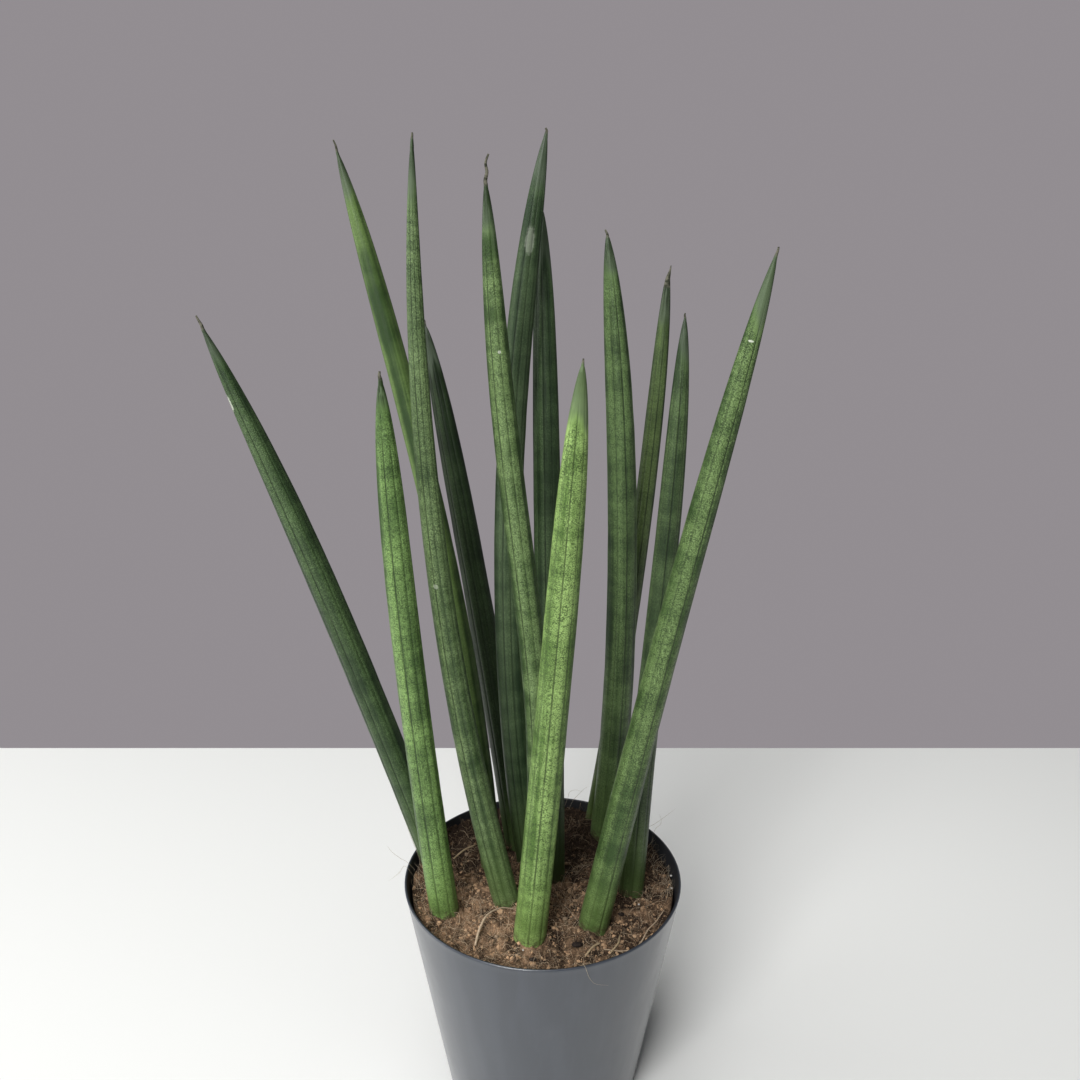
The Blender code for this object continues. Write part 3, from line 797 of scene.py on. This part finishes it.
def hair_rings(lines, radii, sides=4):
    """Tubes along many lines at once: lines is (hair, point, axis) and radii is (hair, point)."""
    along = np.gradient(lines, axis=1)
    along /= np.linalg.norm(along, axis=-1, keepdims=True) + 1e-12
    aside = np.cross(along, np.array([0.31, 0.42, 0.85]))
    aside /= np.linalg.norm(aside, axis=-1, keepdims=True) + 1e-12
    over = np.cross(along, aside)
    turn = np.linspace(0.0, 2.0 * np.pi, sides, endpoint=False)
    across = aside[:, :, None] * np.cos(turn)[:, None]
    across = across + over[:, :, None] * np.sin(turn)[:, None]
    return lines[:, :, None] + radii[:, :, None, None] * across


def fibre_rings(rng):
    """Fibres that start in the soil and run across it: line(s) = start + length · (s in a level
    direction that curls with s, and an arch over the soil)."""
    x, y = scattered(FIBRES, FIBRE_START_REACH, 0.0004, rng)
    count = len(x)
    s = np.linspace(0.0, 1.0, 9)
    length = 0.0015 + 0.010 * rng.uniform(0.0, 1.0, count) ** 2.2
    turn = rng.uniform(0.0, 2.0 * np.pi, count)[:, None] + rng.normal(0.0, 1.4, count)[:, None] * s
    step = length[:, None] / 8.0
    line_x = x[:, None] + np.cumsum(np.cos(turn) * step, axis=1)
    line_y = y[:, None] + np.cumsum(np.sin(turn) * step, axis=1)
    reach = np.hypot(line_x, line_y)
    inside = np.minimum(1.0, FIBRE_REACH / reach)
    line_x, line_y = line_x * inside, line_y * inside
    arch = (rng.uniform(0.0, 1.0, count) ** 2.5 * 0.0045)[:, None] * np.sin(np.pi * s * 0.9)
    lift = 0.0003 + arch + rng.uniform(0.0, 0.0006, count)[:, None]
    line_z = soil_top(line_x, line_y) + lift
    radius = rng.uniform(0.000025, 0.00007, count)[:, None] * np.sin(np.pi * (0.12 + 0.76 * s))
    # Painted shade: each fibre's tint is darker behind the leaves and towards the right.
    tint = rng.normal(0.30, 0.35, count) - 0.55 * painted_soil_shade(x, y)
    tint = tint[:, None, None] + np.zeros((1, 9, 4))
    return hair_rings(np.stack([line_x, line_y, line_z], -1), radius), {"tint": tint}


soil_rng = np.random.default_rng(4)
plug_points = soil_rings()
plug_tint = lattice_noise(plug_points + 0.7, 0.0035, 31) * 0.3
# Painted shade: the plug is darker behind the leaves and towards the right.
plug_tint = plug_tint - 0.6 * painted_soil_shade(plug_points[..., 0], plug_points[..., 1])
soil = skins("soil_plug", plug_points, {"tint": plug_tint})
crumbs = skins("soil_crumbs", *crumb_rings(soil_rng))
crumbs.data.polygons.foreach_set("use_smooth", np.zeros(len(crumbs.data.polygons), bool))
fibres = skins("soil_fibres", *fibre_rings(soil_rng))
soil.data.materials.append(
    coir_material("coir_bed", (0.024, 0.015, 0.010), (0.460, 0.290, 0.173), 0.95))
crumbs.data.materials.append(
    coir_material("coir_crumb", (0.038, 0.024, 0.015), (0.550, 0.355, 0.210), 0.92))
fibres.data.materials.append(
    coir_material("coir_thread", (0.120, 0.078, 0.046), (0.620, 0.480, 0.330), 0.75))
for piece in (soil, crumbs, fibres):
    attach(piece, "root")
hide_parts("soil")


# ---------------------------------------------------------------- strands, chips and stray hairs
# Two thick dry strands of coir lie on the soil. A dark chip, some straw and long pale hairs lie
# among them, and a few hairs stand out over the rim.

def smooth_line(corners, count):
    """Points along a line through the corners, each stretch a cubic blended from the two before
    and the two after."""
    corners = np.array(corners)
    ahead, behind = 2 * corners[:1] - corners[1:2], 2 * corners[-1:] - corners[-2:-1]
    padded = np.concatenate([ahead, corners, behind])
    place = np.linspace(0.0, len(corners) - 1.0, count)
    stretch = np.minimum(place.astype(int), len(corners) - 2)
    t = (place - stretch)[:, None]
    before, start, end, after = (padded[stretch + shift] for shift in range(4))
    cubic = (3 * (start - end) + after - before) * t**3
    square = (2 * before - 5 * start + 4 * end - after) * t**2
    return (cubic + square + (end - before) * t) / 2.0 + start


def over_soil(places, lifts):
    """Corners from places on the soil and heights over it."""
    x, y = np.array(places).T
    return np.stack([x, y, soil_top(x, y) + np.array(lifts)], -1)


# Each strand: where it lies, how high it is over the soil, and its radius at each corner.
STRANDS = {
    "coir_strand_arched": (
        ((-0.0276, -0.0372), (-0.0262, -0.0310), (-0.0232, -0.0252), (-0.0180, -0.0200),
         (-0.0136, -0.0184), (-0.0106, -0.0176)),
        (0.0006, 0.0024, 0.0036, 0.0034, 0.0020, 0.0006),
        (0.00050, 0.00055, 0.00042, 0.00026, 0.00020, 0.00012)),
    "coir_strand_right": (
        ((0.0246, -0.0404), (0.0312, -0.0412), (0.0368, -0.0392), (0.0402, -0.0352),
         (0.0435, -0.0288), (0.0472, -0.0236), (0.0512, -0.0189)),
        (0.0008, 0.0012, 0.0010, 0.0012, 0.0012, 0.0010, 0.0008),
        (0.00015, 0.00022, 0.00026, 0.00030, 0.00028, 0.00022, 0.00014)),
}
dry_strand = coir_material("dry_strand", (0.340, 0.250, 0.165), (0.780, 0.640, 0.480), 0.7)
for node, (places, lifts, widths) in STRANDS.items():
    line = smooth_line(over_soil(places, lifts), 60)
    width = smooth_line(np.array(widths)[:, None], 60)[:, 0]
    strand = skins(node.replace("coir_", "dry_"), hair_rings(line[None], width[None], 12))
    strand.data.materials.append(dry_strand)
    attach(strand, "root")
    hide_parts(node)

# Long hairs, in millimetres: some stand out over the rim on the left, the right and at the back,
# one hangs over the front, and two cross the middle.
HAIRS = (
    ((-56, 0, 102.5), (-60, 0, 108.7), (-62.4, 0, 105.6), (-65.1, 0, 103),
     (-67.8, 0, 100.9)),
    ((-56.5, 5, 103), (-59.8, 5, 107.1), (-62.8, 5, 109.2), (-66.2, 5, 112.4),
     (-68.2, 5, 115.5)),
    ((-55, 12, 103), (-57.3, 12, 111), (-59, 12, 117), (-60.8, 12, 124)),
    ((46, 36, 101), (49.5, 36, 103.7), (53.1, 36, 106.1), (57.6, 36, 110),
     (61.7, 36, 113.8)),
    ((50.5, 31, 100.5), (52.7, 34, 104.3), (54.9, 34, 106.7), (55.2, 34, 109.5),
     (54.1, 34, 112.3)),
    ((12.5, 53, 101.5), (14.9, 57, 104.8), (17.3, 57, 107.7), (20.1, 57, 111.1),
     (23, 57, 112.8)),
    ((10, 54, 101.5), (12.3, 57, 106), (13.2, 57, 109.4), (16.3, 57, 110.6),
     (19.7, 57, 109.4)),
    ((14.5, -53.5, 99.5), (15.2, -55.8, 104.6), (16.3, -58.3, 105.2), (18, -58.3, 100),
     (20.6, -57, 96), (25.8, -54, 92.6)),
    ((14, -51, 99), (18.3, -53.5, 103), (22.7, -53.5, 99)),
    ((7.4, -12.4, 99.5), (10.6, -19.4, 101.5), (14.2, -26.4, 101.5), (17.3, -30.7, 99.5)),
    ((7.5, -4.3, 99.5), (8.8, -2.1, 103), (10.6, -0.5, 106), (12.8, 1.7, 108)),
    ((-30, -28, 99.5), (-26, -24, 102), (-27, -16, 102.5), (-32, -10, 100)),
)
STRAWS = (
    ((-40.9, 14.8, 101), (-35.9, 20.7, 102), (-30.3, 26, 101.5)),
    ((16.8, -44.8, 98.6), (19.8, -40.8, 99.6), (23.2, -37.3, 99.2)),
    ((27, -43, 98.8), (30.5, -38, 99.5), (31.5, -33, 99.2)),
)
HAIR_RADIUS = 0.00007
STRAW_RADIUS = 0.00042
FUZZ_RADIUS = 0.00005
hair_lines = np.stack([smooth_line(np.array(hair) / 1000.0, 26) for hair in HAIRS])
hair_widths = HAIR_RADIUS * np.sin(np.pi * np.linspace(0.15, 0.92, 26)) + np.zeros((len(HAIRS), 1))
straw_lines = np.stack([smooth_line(np.array(straw) / 1000.0, 12) for straw in STRAWS])
straw_widths = STRAW_RADIUS * np.sin(np.pi * np.linspace(0.22, 0.78, 12)) + np.zeros((len(STRAWS), 1))


# The hairs near the wall stay within this distance of the pot's axis.
HAIR_REACH = 0.0572


def upright_hairs(count, turns, reaches, tallest, rng):
    """Lines that rise from the soil near the wall and lean out: line(s) = start + height · s,
    with a sideways curl that grows as s²."""
    s = np.linspace(0.0, 1.0, 9)
    turn = np.radians(rng.uniform(*turns, count))[:, None]
    reach = rng.uniform(*reaches, count)[:, None] + 0.0012 * s
    height = rng.uniform(0.25, 1.0, count)[:, None] * tallest
    curl = rng.normal(0.0, 0.0022, (count, 2, 1)) * s**2
    x, y = reach * np.cos(turn) + curl[:, 0], reach * np.sin(turn) + curl[:, 1]
    hold = np.minimum(1.0, HAIR_REACH / np.hypot(x, y))
    return np.stack([x * hold, y * hold, soil_top(x[:, :1], y[:, :1]) - 0.0006 + height * s], -1)


left_fuzz = upright_hairs(70, (150.0, 205.0), (0.046, 0.056), 0.0085, soil_rng)
right_fuzz = upright_hairs(70, (-10.0, 42.0), (0.050, 0.056), 0.0075, soil_rng)
other_fuzz = upright_hairs(90, (0.0, 360.0), (0.018, 0.056), 0.0050, soil_rng)
fuzz_lines = np.concatenate([left_fuzz, right_fuzz, other_fuzz])
fuzz_widths = FUZZ_RADIUS * np.sin(np.pi * np.linspace(0.2, 0.9, 9)) + np.zeros((len(fuzz_lines), 1))

# Chips and crumbs that stand out: middle and size in millimetres, as width, depth and height.
BARK_CHIPS = (((13.8, -38.5, 99.2), (2.3, 1.3, 0.9)), ((-4.0, -46.0, 98.3), (1.6, 1.0, 0.7)),
              ((33.0, -20.0, 99.4), (1.5, 1.1, 0.6)))
PALE_CRUMBS = (((9.3, -23.3, 99.7), (1.1, 0.9, 0.8)), ((-34.4, 18.5, 101.3), (1.3, 0.9, 0.8)),
               ((20.5, -29.0, 99.4), (0.9, 0.7, 0.6)), ((-19.0, -33.5, 99.0), (0.9, 0.8, 0.6)))
WHITE_SPECKS = (((56.6, 3.3, 101.2), (0.55, 0.45, 0.45)), ((55.9, -5.0, 101.0), (0.5, 0.4, 0.4)),
                ((-8.0, -41.0, 98.6), (0.4, 0.4, 0.35)), ((41.0, -14.0, 99.6), (0.4, 0.4, 0.35)))


def lump_rings(lumps, rng):
    """Angular lumps like the crumbs, at given places and sizes in millimetres."""
    middle = np.array([place for place, _ in lumps]) / 1000.0
    size = np.array([size for _, size in lumps]) / 1000.0
    rough = 1.0 + rng.uniform(-0.16, 0.16, (len(lumps), 7, 9, 1))
    return middle[:, None, None] + size[:, None, None] * rough * ball_rings(7, 9, 0.08)


pale_hair = coir_material("pale_hair", (0.330, 0.270, 0.190), (0.700, 0.620, 0.500), 0.6)
straw_dry = coir_material("straw_dry", (0.260, 0.190, 0.110), (0.640, 0.520, 0.340), 0.7)
bark = coir_material("bark", (0.012, 0.009, 0.008), (0.060, 0.042, 0.032), 0.85)
pale_crumb = coir_material("pale_crumb", (0.200, 0.140, 0.090), (0.560, 0.430, 0.300), 0.9)
white_speck = coir_material("white_speck", (0.480, 0.470, 0.440), (0.800, 0.790, 0.750), 0.9)
for name, rings, material in (
        ("long_hairs", hair_rings(hair_lines, hair_widths, 6), pale_hair),
        ("short_hairs", hair_rings(fuzz_lines, fuzz_widths), pale_hair),
        ("straw_bits", hair_rings(straw_lines, straw_widths, 8), straw_dry),
        ("bark_chips", lump_rings(BARK_CHIPS, soil_rng), bark),
        ("pale_crumbs", lump_rings(PALE_CRUMBS, soil_rng), pale_crumb),
        ("white_specks", lump_rings(WHITE_SPECKS, soil_rng), white_speck)):
    piece = skins(name, rings)
    piece.data.materials.append(material)
    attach(piece, "root")


# ---------------------------------------------------------------- the table, the light, the camera
# A plain pale table whose far edge is behind the pot, in a grey room. A soft light stands in
# front on the left, with weaker ones overhead and on the left.

TABLE_REACH = 2.0
TABLE_BACK = 0.284


def plain(name, colour, rough):
    """A material of one colour and one roughness."""
    made, _, shader = new_material(name)
    shader.inputs["Base Color"].default_value = colour
    shader.inputs["Roughness"].default_value = rough
    return made


table_mesh = bpy.data.meshes.new("table")
table_corners = [(-TABLE_REACH, -TABLE_REACH, 0.0), (TABLE_REACH, -TABLE_REACH, 0.0),
                 (TABLE_REACH, TABLE_BACK, 0.0), (-TABLE_REACH, TABLE_BACK, 0.0)]
table_mesh.from_pydata(table_corners, [], [(0, 1, 2, 3)])
table_mesh.materials.append(plain("table_top", (0.80, 0.80, 0.78, 1.0), 0.6))
table = bpy.data.objects.new("table", table_mesh)
bpy.context.scene.collection.objects.link(table)

# The room as the camera sees it is mid grey, and it gives less light than that.
room = bpy.data.worlds.new("room")
room.use_nodes = True
tree = room.node_tree
seen = tree.nodes["Background"]
seen.inputs["Color"].default_value = (0.290, 0.268, 0.285, 1.0)
glow = tree.nodes.new("ShaderNodeBackground")
glow.inputs["Color"].default_value = (0.300, 0.310, 0.320, 1.0)
glow.inputs["Strength"].default_value = 0.36
path = tree.nodes.new("ShaderNodeLightPath")
either = tree.nodes.new("ShaderNodeMixShader")
tree.links.new(path.outputs["Is Camera Ray"], either.inputs[0])
tree.links.new(glow.outputs[0], either.inputs[1])
tree.links.new(seen.outputs[0], either.inputs[2])
tree.links.new(either.outputs[0], tree.nodes["World Output"].inputs["Surface"])
bpy.context.scene.world = room


def soft_light(name, place, aim, size, power):
    """A square area light at a place, turned to look at a point."""
    made = bpy.data.lights.new(name, "AREA")
    made.shape = "SQUARE"
    made.size = size
    made.energy = power
    light = bpy.data.objects.new(name, made)
    light.location = place
    direction = np.array(place) - np.array(aim)
    light.rotation_euler = (
        float(np.arctan2(np.hypot(direction[0], direction[1]), direction[2])), 0.0,
        float(np.arctan2(direction[1], direction[0]) + np.pi / 2.0))
    bpy.context.scene.collection.objects.link(light)


soft_light("front_light", (-0.62, -1.42, 1.3), (0.0, 0.0, 0.15), 0.8, 36.0)
soft_light("ceiling_light", (-0.3, -0.2, 1.7), (0.0, 0.0, 0.15), 1.0, 13.0)
soft_light("left_light", (-1.3, 0.1, 0.55), (0.0, 0.0, 0.1), 0.9, 7.0)

eye = bpy.data.cameras.new("eye")
eye.lens = 36.0
eye.sensor_width = 36.0
camera = bpy.data.objects.new("eye", eye)
camera.location = (-0.0012, -0.3958, 0.4005)
camera.rotation_euler = (np.radians(70.4), 0.0, 0.0)
bpy.context.scene.collection.objects.link(camera)
bpy.context.scene.camera = camera
bpy.context.scene.view_settings.view_transform = "Standard"
